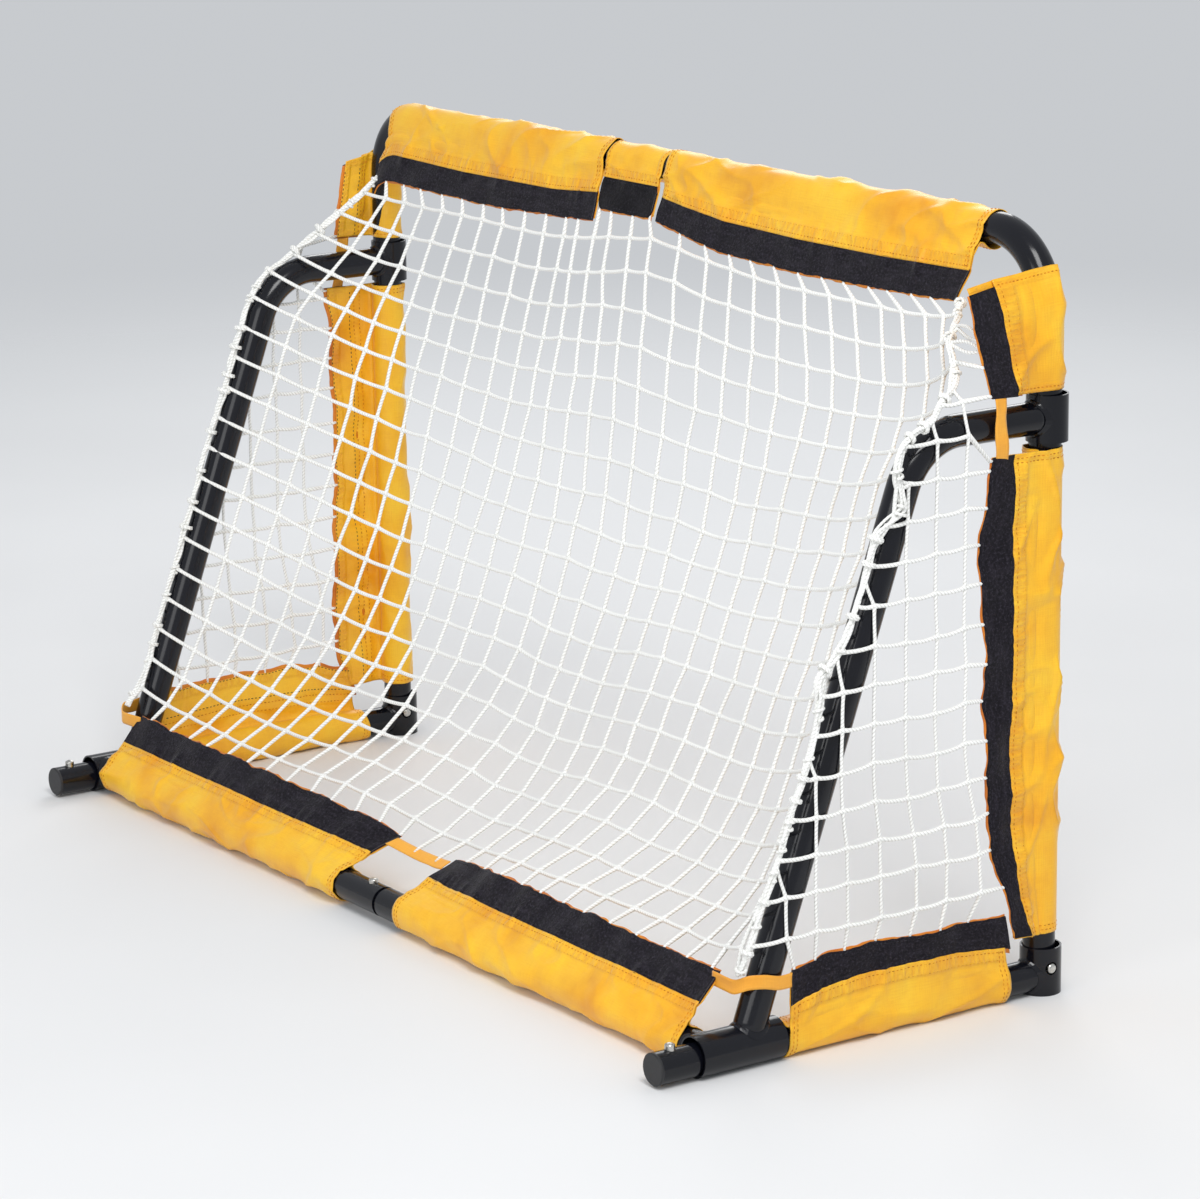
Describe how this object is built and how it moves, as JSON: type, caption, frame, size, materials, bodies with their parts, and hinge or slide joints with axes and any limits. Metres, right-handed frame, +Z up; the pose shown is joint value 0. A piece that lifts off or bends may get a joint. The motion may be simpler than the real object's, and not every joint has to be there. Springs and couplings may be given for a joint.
{
  "type": "goal",
  "caption": "Free-standing ball goal: knock-down steel tube frame with snap-button joints, cloth sleeves on the tubes and a square-mesh net.",
  "frame": {"origin": "middle of the footprint on the ground", "axes": "+X to the right seen from in front of the mouth, +Y from the mouth to the rear bar, +Z up"},
  "size_m": [1.232, 0.486, 0.765],
  "materials": {
    "tube_black": "gloss black powder coat",
    "cap_black": "satin",
    "button_nickel": "nickel plate",
    "spring_steel": "bright",
    "cloth_yellow": "coated woven polyester",
    "strip_black": "loop pile",
    "net_white": "braided cord",
    "tape_orange": "woven tape"
  },
  "bodies": {
    "frame": {"upright_left": "tube_black", "upright_right": "tube_black", "foot_collar_left": "tube_black", "foot_collar_right": "tube_black", "base_tube_left": "tube_black", "base_tube_right": "tube_black", "top_collar_left": "tube_black", "top_collar_right": "tube_black", "side_brace_left": "tube_black", "side_brace_right": "tube_black", "rear_collar_left": "tube_black", "rear_collar_right": "tube_black", "rear_bar_left": "tube_black", "rear_bar_right": "tube_black", "end_cap_left": "cap_black", "end_cap_right": "cap_black", "welds_left": "tube_black", "welds_right": "tube_black", "foot_springs": "spring_steel", "base_springs": "spring_steel", "rear_bar_spring": "spring_steel", "crossbar_spring": "spring_steel", "crossbar_sleeve_left": "cloth_yellow", "crossbar_sleeve_right": "cloth_yellow", "crossbar_flap": "cloth_yellow", "upper_sleeve_left": "cloth_yellow", "upper_sleeve_right": "cloth_yellow", "lower_sleeve_left": "cloth_yellow", "lower_sleeve_right": "cloth_yellow", "base_sleeve_left": "cloth_yellow", "base_sleeve_right": "cloth_yellow", "rear_sleeve_left": "cloth_yellow", "rear_sleeve_right": "cloth_yellow", "crossbar_strip_left": "strip_black", "crossbar_strip_right": "strip_black", "flap_patch": "strip_black", "upper_strip_left": "strip_black", "upper_strip_right": "strip_black", "lower_strip_left": "strip_black", "lower_strip_right": "strip_black", "base_strip_left": "strip_black", "base_strip_right": "strip_black", "rear_strip_left": "strip_black", "rear_strip_right": "strip_black", "net_back": "net_white", "net_side_left": "net_white", "net_side_right": "net_white", "seam_cord_left": "net_white", "seam_cord_right": "net_white", "net_straps": "tape_orange"},
    "foot_button_left_outer_body": {"foot_button_left_outer": "button_nickel"},
    "foot_button_left_inner_body": {"foot_button_left_inner": "button_nickel"},
    "foot_button_right_outer_body": {"foot_button_right_outer": "button_nickel"},
    "foot_button_right_inner_body": {"foot_button_right_inner": "button_nickel"},
    "base_button_left_body": {"base_button_left": "button_nickel"},
    "base_button_right_body": {"base_button_right": "button_nickel"},
    "rear_bar_button_body": {"rear_bar_button": "button_nickel"},
    "crossbar_button_body": {"crossbar_button": "button_nickel"}
  },
  "joints": [
    {"name": "foot_button_left_outer_press", "type": "slide", "parent": "frame", "child": "foot_button_left_outer_body", "axis": [1, 0, 0], "range_m": [0, 0.0065], "stiffness_N_per_m": 3000, "springref_m": -0.002},
    {"name": "foot_button_left_inner_press", "type": "slide", "parent": "frame", "child": "foot_button_left_inner_body", "axis": [-1, 0, 0], "range_m": [0, 0.0065], "stiffness_N_per_m": 3000, "springref_m": -0.002},
    {"name": "foot_button_right_outer_press", "type": "slide", "parent": "frame", "child": "foot_button_right_outer_body", "axis": [-1, 0, 0], "range_m": [0, 0.0065], "stiffness_N_per_m": 3000, "springref_m": -0.002},
    {"name": "foot_button_right_inner_press", "type": "slide", "parent": "frame", "child": "foot_button_right_inner_body", "axis": [1, 0, 0], "range_m": [0, 0.0065], "stiffness_N_per_m": 3000, "springref_m": -0.002},
    {"name": "base_button_left_press", "type": "slide", "parent": "frame", "child": "base_button_left_body", "axis": [0, 0, -1], "range_m": [0, 0.0065], "stiffness_N_per_m": 3000, "springref_m": -0.002},
    {"name": "base_button_right_press", "type": "slide", "parent": "frame", "child": "base_button_right_body", "axis": [0, 0, -1], "range_m": [0, 0.0065], "stiffness_N_per_m": 3000, "springref_m": -0.002},
    {"name": "rear_bar_button_press", "type": "slide", "parent": "frame", "child": "rear_bar_button_body", "axis": [0, 0, -1], "range_m": [0, 0.0065], "stiffness_N_per_m": 3000, "springref_m": -0.002},
    {"name": "crossbar_button_press", "type": "slide", "parent": "frame", "child": "crossbar_button_body", "axis": [0, 0, 1], "range_m": [0, 0.0065], "stiffness_N_per_m": 3000, "springref_m": -0.002}
  ]
}
